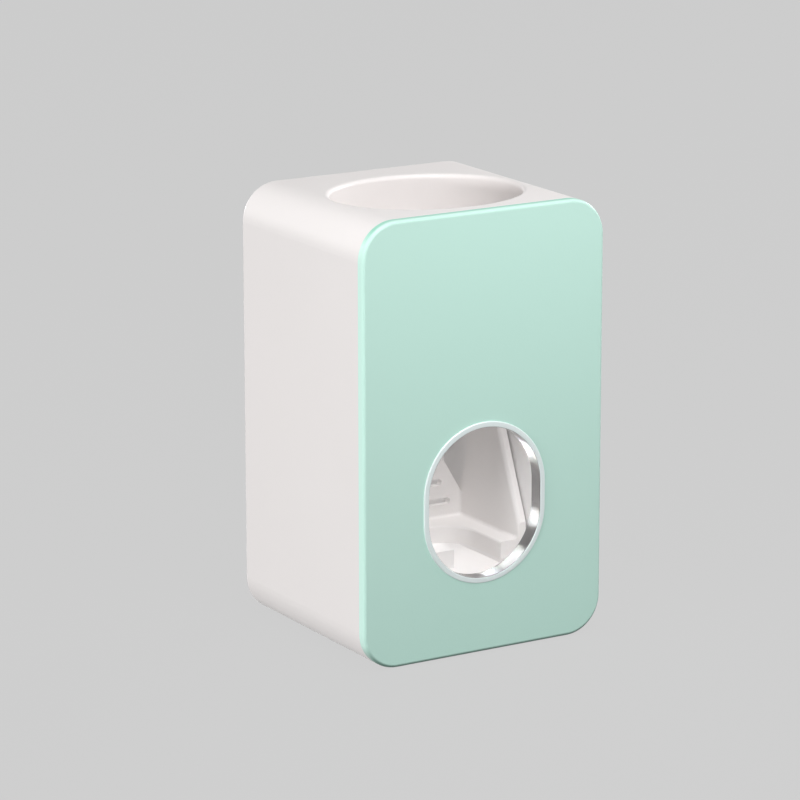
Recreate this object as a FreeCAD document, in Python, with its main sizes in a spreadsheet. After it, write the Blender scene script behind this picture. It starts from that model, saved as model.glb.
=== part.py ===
import FreeCAD
import Part
import Sketcher
import math
import os

# Toothpaste dispenser, millimetres. X points right, -Y to the front, Z up.
# The origin lies under the middle of the whole part, on the plane it stands on.

SIZES = {
    # Housing
    "body_width": 74.2,
    "body_height": 120.0,
    "housing_depth": 61.7,
    "corner_radius": 10.3,
    "wall": 2.5,
    "back_wall": 2.0,
    "back_round": 1.2,
    # Oval well for the tube
    "well_side_land": 10.2,
    "well_front_land": 4.5,
    "well_back_land": 12.0,
    "well_wall": 1.8,
    "well_floor": 2.5,
    "rim_round": 1.1,
    # Front panel, carrier and pegs
    "panel_thick": 2.5,
    "panel_round": 0.9,
    "carrier_thick": 1.4,
    "carrier_gap": 0.2,
    "peg_radius": 2.0,
    "peg_length": 8.0,
    "peg_inset": 4.6,
    "peg_fit": 0.05,
    "socket_wall": 1.75,
    "socket_length": 9.5,
    "socket_gap": 0.3,
    # Window and bezel
    "window_width": 34.6,
    "window_straight": 6.4,
    "window_center": 41.3,
    "bezel_wall": 0.9,
    "bezel_lip": 0.65,
    "bezel_proud": 0.4,
    "bezel_round": 0.3,
    # Inner frame
    "frame_gap": 0.6,
    "frame_side_gap": 1.0,
    "frame_top_gap": 1.0,
    "cheek_gap": 0.45,
    "cheek_thick": 2.6,
    "floor_top": 16.2,
    "floor_thick": 2.5,
    "ridge_width": 11.0,
    "ridge_gap": 0.5,
    "ridge_setback": 13.3,
    "plate_thick": 2.0,
    "shelf_thick": 2.5,
    "shelf_reach": 11.0,
    "shelf_gap": 0.8,
    "stop_gap": 0.3,
    "stop_thick": 3.0,
    "stop_height": 4.0,
    # Frame screws
    "screw_radius": 1.25,
    "screw_short": 1.6,
    "screw_head_radius": 2.4,
    "screw_head_height": 1.7,
    "screw_slack": 0.2,
    "screw_inset": 7.0,
    "screw_slot": 0.7,
    "post_radius": 3.6,
    # Push lever
    "lever_gap": 32.0,
    "arm_thick": 2.5,
    "tongue_setback": 7.8,
    "tongue_thick": 2.0,
    "shoulder_rise": 6.5,
    "tongue_rise": 12.8,
    "tongue_top_width": 17.0,
    "tongue_top_round": 2.5,
    "tongue_clear": 10.0,
    "swing_room": 11.6,
    "fork_clear": 5.7,
    "fork_thick": 4.8,
    "fork_setback": 4.0,
    "fork_gap": 21.2,
    "fork_web": 6.6,
    "fork_round": 10.0,
    "slot_height": 1.9,
    "lower_slot_rise": 4.4,
    "lower_slot_length": 24.9,
    "slot_pitch": 5.6,
    "upper_slot_length": 19.5,
    "heel_rise": 4.5,
    "knee_drop": 14.7,
    "knee_setback": 0.8,
    "waist_rise": 8.9,
    "waist_reach": 5.3,
    "bar_thick": 3.6,
    "bar_height": 6.0,
    "bar_gap": 0.3,
    "boss_radius": 4.0,
    "boss_gap": 1.0,
    "edge_round": 0.6,
    "arm_round": 1.0,
    "ledge_round": 0.8,
    # Pivot pins
    "pin_radius": 1.5,
    "pin_fit": 0.05,
    # Return spring
    "spring_drop": 4.4,
    "spring_radius": 3.3,
    "wire_radius": 0.35,
    "spring_turns": 3.5,
    "spigot_radius": 2.5,
    "spigot_length": 1.5,
    # Tube seal and its collar
    "neck_radius": 6.5,
    "seal_skirt": 2.4,
    "seal_body_step": 2.3,
    "seal_flange_step": 2.3,
    "seal_flange": 2.0,
    "seal_fit": 0.1,
    "collar_band": 2.4,
    "collar_lip": 2.0,
    "mouth_gap": 3.5,
    "collar_chamfer": 1.0,
    # Pump head and inlet valve
    "head_cup": 3.0,
    "head_flange": 2.0,
    "head_wall": 2.5,
    "head_step": 2.6,
    "spigot_wall": 1.2,
    "head_spigot": 5.5,
    "seat_thick": 2.0,
    "port_radius": 0.95,
    "port_circle": 2.9,
    "stem_radius": 0.85,
    "stem_head_radius": 1.4,
    "stem_head": 1.6,
    "valve_radius": 4.6,
    "valve_thick": 0.8,
    # Bulb and clamps
    "bulb_swell": 0.5,
    "bulb_wall": 1.5,
    "bulb_length": 12.0,
    "bulb_taper": 1.5,
    "collar_length": 4.3,
    "collar_inner": 5.6,
    "collar_wall": 1.4,
    "bulb_seat": 0.2,
    "clamp_wall": 1.3,
    "clamp_height": 3.0,
    "clamp_inset": 0.6,
    # Nozzle, nut and outlet valve
    "nozzle_flange": 1.5,
    "nozzle_flange_radius": 9.0,
    "nozzle_spigot": 4.0,
    "neck_outer": 6.0,
    "nozzle_tip": 6.0,
    "nozzle_tip_round": 1.4,
    "nozzle_bore": 3.0,
    "valve_seat_rise": 4.8,
    "nut_height": 3.4,
    "nut_wall": 2.5,
    "bill_flange": 1.4,
    "bill_gap": 0.1,
    "bill_wall": 0.8,
    "bill_tip": 1.2,
    "bill_short": 0.5,
    "bill_slit": 0.4,
    # Wall plate and pad
    "recess_depth": 2.2,
    "recess_gap": 0.5,
    "recess_round": 4.0,
    "plate_gap": 0.2,
    "plate_width": 50.0,
    "plate_above": 16.0,
    "plate_below": 36.0,
    "hang_drop": 40.0,
    "hang_travel": 10.0,
    "stud_spacing": 20.0,
    "stud_radius": 2.3,
    "stud_head_radius": 4.2,
    "stud_head": 1.6,
    "stud_fit": 0.2,
    "pad_thick": 0.8,
    "pad_inset": 2.0,
}


class Size:
    """A number kept together with the sheet expression that gives it."""

    def __init__(self, number, text):
        self.number = number
        self.text = text

    def __add__(self, other):
        return Size(self.number + as_number(other), "(%s + %s)" % (self.text, as_text(other)))

    def __sub__(self, other):
        return Size(self.number - as_number(other), "(%s - %s)" % (self.text, as_text(other)))

    def __mul__(self, other):
        return Size(self.number * as_number(other), "(%s * %s)" % (self.text, as_text(other)))

    def __truediv__(self, other):
        return Size(self.number / as_number(other), "(%s / %s)" % (self.text, as_text(other)))

    def __neg__(self):
        return Size(-self.number, "(0 - %s)" % self.text)


def as_number(value):
    return value.number if isinstance(value, Size) else float(value)


def as_text(value):
    return value.text if isinstance(value, Size) else repr(float(value))


class Sheet:
    """The spreadsheet of driving sizes; each size is an attribute."""

    def __init__(self, document, sizes):
        cells = document.addObject("Spreadsheet::Sheet", "Sizes")
        for row, (name, number) in enumerate(sizes.items(), start=1):
            cells.set("A%d" % row, name)
            cells.set("B%d" % row, str(number))
            cells.setAlias("B%d" % row, name)
            setattr(self, name, Size(number, "Sizes.%s" % name))
        document.recompute()


DOC = FreeCAD.newDocument("Dispenser")
S = Sheet(DOC, SIZES)
ZERO = Size(0.0, "0")
SIDES = (-1, 1)
TOLERANCE = 1e-3

# Levels from front to back
FRONT = -(S.bezel_proud + S.panel_thick + S.housing_depth + S.pad_thick) / 2
PANEL_FRONT = FRONT + S.bezel_proud
RIM = PANEL_FRONT + S.panel_thick
BACK = RIM + S.housing_depth
RECESS_FLOOR = BACK - S.recess_depth
INNER_BACK = RECESS_FLOOR - S.back_wall
CARRIER_REAR = RIM + S.carrier_thick
FRAME_FRONT = CARRIER_REAR + S.frame_gap
WELL_HALF_DEPTH = (S.housing_depth - S.well_front_land - S.well_back_land) / 2
AXIS_Y = RIM + S.well_front_land + WELL_HALF_DEPTH
TONGUE_FRONT = AXIS_Y + S.tongue_setback
TONGUE_REAR = TONGUE_FRONT + S.tongue_thick
PLATE_FRONT = TONGUE_REAR + S.swing_room
PLATE_REAR = PLATE_FRONT + S.plate_thick
COLLAR_OUTER = S.collar_inner + S.collar_wall
BULB_RADIUS = COLLAR_OUTER + S.bulb_swell
BAR_REAR = AXIS_Y - BULB_RADIUS - S.bar_gap
BAR_FRONT = BAR_REAR - S.bar_thick
FORK_FRONT = FRAME_FRONT + S.fork_setback

# Levels from the bottom up
FORK_BOTTOM = S.floor_top + S.fork_clear
FORK_TOP = FORK_BOTTOM + S.fork_thick
SHOULDER = FORK_TOP + S.shoulder_rise
TONGUE_TOP = SHOULDER + S.tongue_rise
NUT_UNDER = TONGUE_TOP + S.tongue_clear
LOW_SHELF_UNDER = NUT_UNDER + S.nut_height
LOW_SHELF_TOP = LOW_SHELF_UNDER + S.shelf_thick
BULB_FOOT = LOW_SHELF_TOP + S.nozzle_flange
BULB_BODY_FOOT = BULB_FOOT + S.collar_length
BULB_BODY_TOP = BULB_BODY_FOOT + S.bulb_length
BULB_TOP = BULB_BODY_TOP + S.collar_length
SHELF_UNDER = BULB_TOP + S.bulb_seat
SHELF_TOP = SHELF_UNDER + S.shelf_thick
HEAD_FLOOR = SHELF_TOP + S.head_flange
WELL_UNDER = HEAD_FLOOR + S.head_cup
WELL_BOTTOM = WELL_UNDER + S.well_floor
SEAT_UNDER = SHELF_UNDER - S.head_spigot
NOZZLE_END = LOW_SHELF_UNDER - S.nozzle_tip
VALVE_SEAT = NOZZLE_END + S.valve_seat_rise
PIVOT_Z = WELL_UNDER - S.boss_radius - S.boss_gap
BAR_FOOT = (BULB_BODY_TOP + BULB_BODY_FOOT - S.bar_height) / 2
BAR_TOP = BAR_FOOT + S.bar_height
KNEE_Z = BAR_FOOT - S.knee_drop
HEEL_Z = FORK_TOP + S.heel_rise
SPRING_Z = TONGUE_TOP - S.spring_drop
FRAME_TOP = WELL_UNDER - S.frame_top_gap
FRAME_FOOT = S.floor_top - S.floor_thick
HANG_Z = S.body_height - S.hang_drop

# Distances from the middle plane
HALF = S.body_width / 2
INNER_HALF = HALF - S.wall
WELL_HALF_WIDTH = HALF - S.well_side_land
SKIRT_RADIUS = S.neck_radius + S.seal_skirt
SEAL_BODY = SKIRT_RADIUS + S.seal_body_step
SEAL_FLANGE = SEAL_BODY + S.seal_flange_step
HEAD_BODY = S.collar_inner + S.head_step
SCREW_END = INNER_BACK - S.screw_short
ARM_IN = S.lever_gap / 2
ARM_OUT = ARM_IN + S.arm_thick
CHEEK_IN = ARM_OUT + S.cheek_gap
CHEEK_OUT = CHEEK_IN + S.cheek_thick
FRAME_HALF = INNER_HALF - S.frame_side_gap
SHELF_HALF = ARM_IN - S.shelf_gap
PEG_X = INNER_HALF - S.peg_inset
PEG_LEVELS = (S.wall + S.peg_inset, S.body_height - S.wall - S.peg_inset)
SCREW_X = (CHEEK_OUT + FRAME_HALF) / 2
SCREW_LEVELS = (FRAME_FOOT + S.screw_inset, FRAME_TOP - S.screw_inset)
STUD_X = S.stud_spacing / 2
PEG_PLACES = [(PEG_X * side, level) for side in SIDES for level in PEG_LEVELS]
SCREW_PLACES = [(SCREW_X * side, level) for side in SIDES for level in SCREW_LEVELS]


def new_body(label):
    body = DOC.addObject("PartDesign::Body", label)
    body.Label = label
    return body


def new_sketch(body, name, role, level):
    """A sketch on one of the body's origin planes, moved along the plane's own axis."""
    sketch = body.newObject("Sketcher::SketchObject", name + "_sketch")
    plane = next(item for item in body.Origin.OriginFeatures if item.Role == role)
    sketch.AttachmentSupport = [(plane, "")]
    sketch.MapMode = "FlatFace"
    shift = -level if role == "XZ_Plane" else level
    sketch.setExpression("AttachmentOffset.Base.z", shift.text)
    return sketch


def bind(sketch, kind, *where, size):
    """Adds a measured constraint and ties it to the sheet."""
    index = sketch.addConstraint(Sketcher.Constraint(kind, *where, size.number))
    sketch.setExpression("Constraints[%d]" % index, size.text)


def bind_point(sketch, item, end, place):
    bind(sketch, "DistanceX", -1, 1, item, end, size=place[0])
    bind(sketch, "DistanceY", -1, 1, item, end, size=place[1])


def vector(place):
    return FreeCAD.Vector(as_number(place[0]), as_number(place[1]), 0)


def circle(sketch, place, radius):
    up = FreeCAD.Vector(0, 0, 1)
    item = sketch.addGeometry(Part.Circle(vector(place), up, radius.number))
    bind_point(sketch, item, 3, place)
    bind(sketch, "Radius", item, size=radius)


def circles(places, radius):
    def draw(sketch):
        for place in places:
            circle(sketch, place, radius)
    return draw


def oval(place, half_width, half_depth):
    def draw(sketch):
        middle = vector(place)
        side_end = middle + FreeCAD.Vector(half_width.number, 0, 0)
        back_end = middle + FreeCAD.Vector(0, half_depth.number, 0)
        wide = half_width.number >= half_depth.number
        ends = (side_end, back_end) if wide else (back_end, side_end)
        halves = (half_width, half_depth) if wide else (half_depth, half_width)
        item = sketch.addGeometry(Part.Ellipse(*ends, middle))
        sketch.exposeInternalGeometry(item)
        bind_point(sketch, item, 3, place)
        sketch.addConstraint(Sketcher.Constraint("Horizontal" if wide else "Vertical", item + 1))
        for line, half in enumerate(halves, start=item + 1):
            bind(sketch, "Distance", line, size=half * 2)
    return draw


def slot(sketch, first, last, radius):
    """A slot with round ends between two centres."""
    along = vector(last) - vector(first)
    heading = math.atan2(along.y, along.x)
    side = FreeCAD.Vector(-math.sin(heading), math.cos(heading), 0) * radius.number
    up = FreeCAD.Vector(0, 0, 1)
    quarter = math.pi / 2
    first_circle = Part.Circle(vector(first), up, radius.number)
    last_circle = Part.Circle(vector(last), up, radius.number)
    first_arc = Part.ArcOfCircle(first_circle, heading + quarter, heading + 3 * quarter)
    last_arc = Part.ArcOfCircle(last_circle, heading - quarter, heading + quarter)
    low = sketch.addGeometry(Part.LineSegment(vector(first) - side, vector(last) - side))
    end = sketch.addGeometry(last_arc)
    high = sketch.addGeometry(Part.LineSegment(vector(last) + side, vector(first) + side))
    start = sketch.addGeometry(first_arc)
    ring = (low, end, high, start)
    for index, item in enumerate(ring):
        following = ring[(index + 1) % len(ring)]
        sketch.addConstraint(Sketcher.Constraint("Tangent", item, 2, following, 1))
    bind_point(sketch, start, 3, first)
    bind_point(sketch, end, 3, last)
    bind(sketch, "Radius", start, size=radius)


def slots(pairs, radius):
    def draw(sketch):
        for first, last in pairs:
            slot(sketch, first, last, radius)
    return draw


def outline(corners):
    """A closed outline through corners (x, y) or (x, y, radius)."""
    def draw(sketch):
        count = len(corners)
        points = [vector(corner) for corner in corners]
        entries = []
        exits = []
        arcs = []
        for index, corner in enumerate(corners):
            here = points[index]
            back_way = points[index - 1] - here
            onward = points[(index + 1) % count] - here
            back_way.normalize()
            onward.normalize()
            if len(corner) == 2:
                entries.append(here)
                exits.append(here)
                arcs.append(None)
                continue
            radius = corner[2].number
            half_angle = back_way.getAngle(onward) / 2
            reach = radius / math.tan(half_angle)
            middle_way = back_way + onward
            middle_way.normalize()
            centre = here + middle_way * (radius / math.sin(half_angle))
            enter = here + back_way * reach
            leave = here + onward * reach
            entries.append(enter)
            exits.append(leave)
            turns_left = back_way.cross(onward).z < 0
            first, last = (enter, leave) if turns_left else (leave, enter)
            begin = math.atan2(first.y - centre.y, first.x - centre.x)
            finish = math.atan2(last.y - centre.y, last.x - centre.x)
            up = FreeCAD.Vector(0, 0, 1)
            arcs.append((Part.ArcOfCircle(Part.Circle(centre, up, radius), begin, finish), turns_left))
        lines = [
            sketch.addGeometry(Part.LineSegment(exits[index], entries[(index + 1) % count]))
            for index in range(count)
        ]
        for index, corner in enumerate(corners):
            before = lines[index - 1]
            after = lines[index]
            if arcs[index] is None:
                sketch.addConstraint(Sketcher.Constraint("Coincident", before, 2, after, 1))
                bind_point(sketch, after, 1, corner)
                continue
            arc, turns_left = arcs[index]
            item = sketch.addGeometry(arc)
            enter_end = 1 if turns_left else 2
            leave_end = 2 if turns_left else 1
            sketch.addConstraint(Sketcher.Constraint("Tangent", before, 2, item, enter_end))
            sketch.addConstraint(Sketcher.Constraint("Tangent", item, leave_end, after, 1))
            bind(sketch, "Radius", item, size=corner[2])
            apex = sketch.addGeometry(Part.Point(points[index]), True)
            sketch.addConstraint(Sketcher.Constraint("PointOnObject", apex, 1, before))
            sketch.addConstraint(Sketcher.Constraint("PointOnObject", apex, 1, after))
            bind_point(sketch, apex, 1, corner)
    return draw


def rectangle(left, low, right, high, radius=None):
    places = [(left, low), (right, low), (right, high), (left, high)]
    if radius is not None:
        places = [place + (radius,) for place in places]
    return outline(places)


def mirrored(draw_for_side):
    """Draws the same outline on both sides of the middle plane."""
    def draw(sketch):
        for side in SIDES:
            draw_for_side(side)(sketch)
    return draw


def extrude(body, name, role, low, high, draw, cut=False):
    """Pads or pockets a drawing between two levels along the plane's axis."""
    starts_high = (role == "XZ_Plane") != cut
    sketch = new_sketch(body, name, role, high if starts_high else low)
    draw(sketch)
    feature = body.newObject("PartDesign::Pocket" if cut else "PartDesign::Pad", name)
    feature.Profile = sketch
    feature.setExpression("Length", (high - low).text)
    DOC.recompute()
    return feature


def turn(body, name, corners):
    """Turns an outline of (radius, height) corners about the pump's upright axis."""
    sketch = new_sketch(body, name, "XZ_Plane", AXIS_Y)
    outline(corners)(sketch)
    feature = body.newObject("PartDesign::Revolution", name)
    feature.Profile = sketch
    feature.ReferenceAxis = (sketch, ["V_Axis"])
    feature.Angle = 360
    DOC.recompute()
    return feature


def round_edges(body, name, radius, wanted):
    """Rounds the edges of the body's latest feature that a test picks."""
    base = body.Tip
    edges = enumerate(base.Shape.Edges, start=1)
    names = ["Edge%d" % number for number, edge in edges if wanted(edge.BoundBox)]
    feature = body.newObject("PartDesign::Fillet", name)
    feature.Base = (base, names)
    feature.setExpression("Radius", radius.text)
    DOC.recompute()


def near(value, size):
    return abs(value - size.number) < TOLERANCE


def flat_at_y(level):
    return lambda box: near(box.YMin, level) and near(box.YMax, level)


def flat_at_z(level):
    return lambda box: near(box.ZMin, level) and near(box.ZMax, level)


def upright_slot(extra):
    """The window's outline, grown by a margin all round."""
    radius = S.window_width / 2 + extra
    reach = S.window_straight / 2
    return slots([((ZERO, S.window_center - reach), (ZERO, S.window_center + reach))], radius)


# Housing

def make_housing():
    body = new_body("housing")
    outside = rectangle(-HALF, ZERO, HALF, S.body_height, S.corner_radius)
    extrude(body, "shell", "XZ_Plane", RIM, BACK, outside)
    round_edges(body, "back_edge", S.back_round, flat_at_y(BACK))
    inner_radius = S.corner_radius - S.wall
    inside = rectangle(-INNER_HALF, S.wall, INNER_HALF, S.body_height - S.wall, inner_radius)
    extrude(body, "inside", "XZ_Plane", RIM, INNER_BACK, inside, cut=True)
    middle = (ZERO, AXIS_Y)
    cup = oval(middle, WELL_HALF_WIDTH + S.well_wall, WELL_HALF_DEPTH + S.well_wall)
    extrude(body, "well_cup", "XY_Plane", WELL_UNDER, S.body_height - S.wall / 2, cup)
    well = oval(middle, WELL_HALF_WIDTH, WELL_HALF_DEPTH)
    extrude(body, "well", "XY_Plane", WELL_BOTTOM, S.body_height, well, cut=True)
    lowest = (S.body_height - S.wall / 2).number
    foremost = (AXIS_Y - WELL_HALF_DEPTH).number - TOLERANCE
    hindmost = (AXIS_Y + WELL_HALF_DEPTH).number + TOLERANCE

    def on_rim(box):
        curved = box.XLength > TOLERANCE
        return curved and box.ZMin > lowest and box.YMin > foremost and box.YMax < hindmost

    round_edges(body, "well_rim", S.rim_round, on_rim)
    opening = circles([middle], SEAL_BODY + S.seal_fit)
    extrude(body, "seal_opening", "XY_Plane", WELL_UNDER, WELL_BOTTOM, opening, cut=True)
    posts = circles(SCREW_PLACES, S.post_radius)
    extrude(body, "screw_posts", "XZ_Plane", PLATE_REAR, INNER_BACK, posts)
    bores = circles(SCREW_PLACES, S.screw_radius)
    extrude(body, "post_bores", "XZ_Plane", PLATE_REAR, SCREW_END + S.screw_slack, bores, cut=True)
    socket_front = CARRIER_REAR + S.socket_gap
    socket_rear = socket_front + S.socket_length
    socket_radius = S.peg_radius + S.peg_fit + S.socket_wall

    def web(side, level):
        reach = (INNER_HALF + S.wall / 2) * side
        inner = PEG_X * side
        left, right = (inner, reach) if side > 0 else (reach, inner)
        return rectangle(left, level - S.socket_wall / 2, right, level + S.socket_wall / 2)

    for level in PEG_LEVELS:
        pair = mirrored(lambda side: web(side, level))
        extrude(body, "webs", "XZ_Plane", socket_front, socket_rear, pair)
    extrude(body, "sockets", "XZ_Plane", socket_front, socket_rear, circles(PEG_PLACES, socket_radius))
    peg_bore = circles(PEG_PLACES, S.peg_radius + S.peg_fit)
    extrude(body, "socket_bores", "XZ_Plane", socket_front, socket_rear, peg_bore, cut=True)
    recess_half = S.plate_width / 2 + S.recess_gap
    recess_low = HANG_Z - S.plate_below - S.hang_travel - S.recess_gap
    recess_high = HANG_Z + S.plate_above + S.recess_gap
    recess = rectangle(-recess_half, recess_low, recess_half, recess_high, S.recess_round)
    extrude(body, "recess", "XZ_Plane", RECESS_FLOOR, BACK, recess, cut=True)
    entry_z = HANG_Z - S.hang_travel
    entries = circles([(STUD_X * side, entry_z) for side in SIDES], S.stud_head_radius + S.stud_fit * 2)
    extrude(body, "keyhole_entries", "XZ_Plane", INNER_BACK, RECESS_FLOOR, entries, cut=True)
    pairs = [((STUD_X * side, entry_z), (STUD_X * side, HANG_Z)) for side in SIDES]
    keyholes = slots(pairs, S.stud_radius + S.stud_fit)
    extrude(body, "keyhole_slots", "XZ_Plane", INNER_BACK, RECESS_FLOOR, keyholes, cut=True)
    return body


# Front panel, its carrier and the bezel

def make_front_panel():
    body = new_body("front_panel")
    sheet = rectangle(-HALF, ZERO, HALF, S.body_height, S.corner_radius)
    extrude(body, "sheet", "XZ_Plane", PANEL_FRONT, RIM, sheet)
    round_edges(body, "front_edge", S.panel_round, flat_at_y(PANEL_FRONT))
    extrude(body, "window", "XZ_Plane", PANEL_FRONT, RIM, upright_slot(S.bezel_wall), cut=True)
    return body


def make_panel_carrier():
    body = new_body("panel_carrier")
    edge = INNER_HALF - S.carrier_gap
    low = S.wall + S.carrier_gap
    radius = S.corner_radius - S.wall - S.carrier_gap
    sheet = rectangle(-edge, low, edge, S.body_height - low, radius)
    extrude(body, "sheet", "XZ_Plane", RIM, CARRIER_REAR, sheet)
    extrude(body, "window", "XZ_Plane", RIM, CARRIER_REAR, upright_slot(S.bezel_wall), cut=True)
    tip = CARRIER_REAR + S.peg_length
    extrude(body, "pegs", "XZ_Plane", CARRIER_REAR, tip, circles(PEG_PLACES, S.peg_radius))
    round_edges(body, "peg_tips", S.edge_round, flat_at_y(tip))
    return body


def make_window_bezel():
    body = new_body("window_bezel")
    extrude(body, "flange", "XZ_Plane", FRONT, PANEL_FRONT, upright_slot(S.bezel_wall + S.bezel_lip))
    extrude(body, "liner", "XZ_Plane", PANEL_FRONT, CARRIER_REAR, upright_slot(S.bezel_wall))
    extrude(body, "opening", "XZ_Plane", FRONT, CARRIER_REAR, upright_slot(ZERO), cut=True)
    round_edges(body, "flange_edges", S.bezel_round, flat_at_y(FRONT))
    return body


# Inner frame and its screws

def make_inner_frame():
    body = new_body("inner_frame")
    plate = rectangle(-FRAME_HALF, FRAME_FOOT, FRAME_HALF, FRAME_TOP, S.cheek_thick)
    extrude(body, "back_plate", "XZ_Plane", PLATE_FRONT, PLATE_REAR, plate)

    def cheek(side):
        left, right = (CHEEK_IN, CHEEK_OUT) if side > 0 else (-CHEEK_OUT, -CHEEK_IN)
        return rectangle(left, FRAME_FRONT, right, PLATE_FRONT)

    extrude(body, "cheeks", "XY_Plane", FRAME_FOOT, FRAME_TOP, mirrored(cheek))
    floor = rectangle(-CHEEK_IN, FRAME_FRONT, CHEEK_IN, PLATE_FRONT)
    extrude(body, "floor", "XY_Plane", FRAME_FOOT, S.floor_top, floor)
    ridge_half = S.ridge_width / 2
    ridge = rectangle(-ridge_half, TONGUE_FRONT - S.ridge_setback, ridge_half, PLATE_FRONT)
    extrude(body, "ridge", "XY_Plane", S.floor_top, FORK_BOTTOM - S.ridge_gap, ridge)
    shelf = rectangle(-SHELF_HALF, AXIS_Y - S.shelf_reach, SHELF_HALF, PLATE_FRONT)
    extrude(body, "upper_shelf", "XY_Plane", SHELF_UNDER, SHELF_TOP, shelf)
    extrude(body, "lower_shelf", "XY_Plane", LOW_SHELF_UNDER, LOW_SHELF_TOP, shelf)
    middle = [(ZERO, AXIS_Y)]
    head_hole = circles(middle, HEAD_BODY)
    extrude(body, "head_hole", "XY_Plane", SHELF_UNDER, SHELF_TOP, head_hole, cut=True)
    nozzle_hole = circles(middle, S.neck_outer)
    extrude(body, "nozzle_hole", "XY_Plane", LOW_SHELF_UNDER, LOW_SHELF_TOP, nozzle_hole, cut=True)

    def stop(side):
        inner = ARM_IN + S.stop_gap
        left, right = (inner, CHEEK_IN) if side > 0 else (-CHEEK_IN, -inner)
        rear = BAR_FRONT - S.stop_gap
        return rectangle(left, rear - S.stop_thick, right, rear)

    extrude(body, "stops", "XY_Plane", BAR_TOP - S.stop_height, BAR_TOP, mirrored(stop))
    spring_post = circles([(ZERO, SPRING_Z)], S.spigot_radius)
    extrude(body, "spring_post", "XZ_Plane", PLATE_FRONT - S.spigot_length, PLATE_FRONT, spring_post)
    pin_holes = circles([(AXIS_Y, PIVOT_Z)], S.pin_radius + S.pin_fit)
    extrude(body, "pin_holes", "YZ_Plane", -CHEEK_OUT, CHEEK_OUT, pin_holes, cut=True)
    screw_holes = circles(SCREW_PLACES, S.screw_radius + S.screw_slack)
    extrude(body, "screw_holes", "XZ_Plane", PLATE_FRONT, PLATE_REAR, screw_holes, cut=True)
    return body


def make_frame_screws():
    body = new_body("frame_screws")
    head_front = PLATE_FRONT - S.screw_head_height
    extrude(body, "shanks", "XZ_Plane", PLATE_FRONT, SCREW_END, circles(SCREW_PLACES, S.screw_radius))
    extrude(body, "heads", "XZ_Plane", head_front, PLATE_FRONT, circles(SCREW_PLACES, S.screw_head_radius))
    half_slot = S.screw_slot / 2
    reach = S.screw_head_radius

    def slot_lines(sketch):
        for across, level in SCREW_PLACES:
            rectangle(across - reach, level - half_slot, across + reach, level + half_slot)(sketch)

    slot_floor = head_front + S.screw_head_height / 2
    extrude(body, "slots", "XZ_Plane", head_front, slot_floor, slot_lines, cut=True)
    return body


# Push lever and its pins

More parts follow.
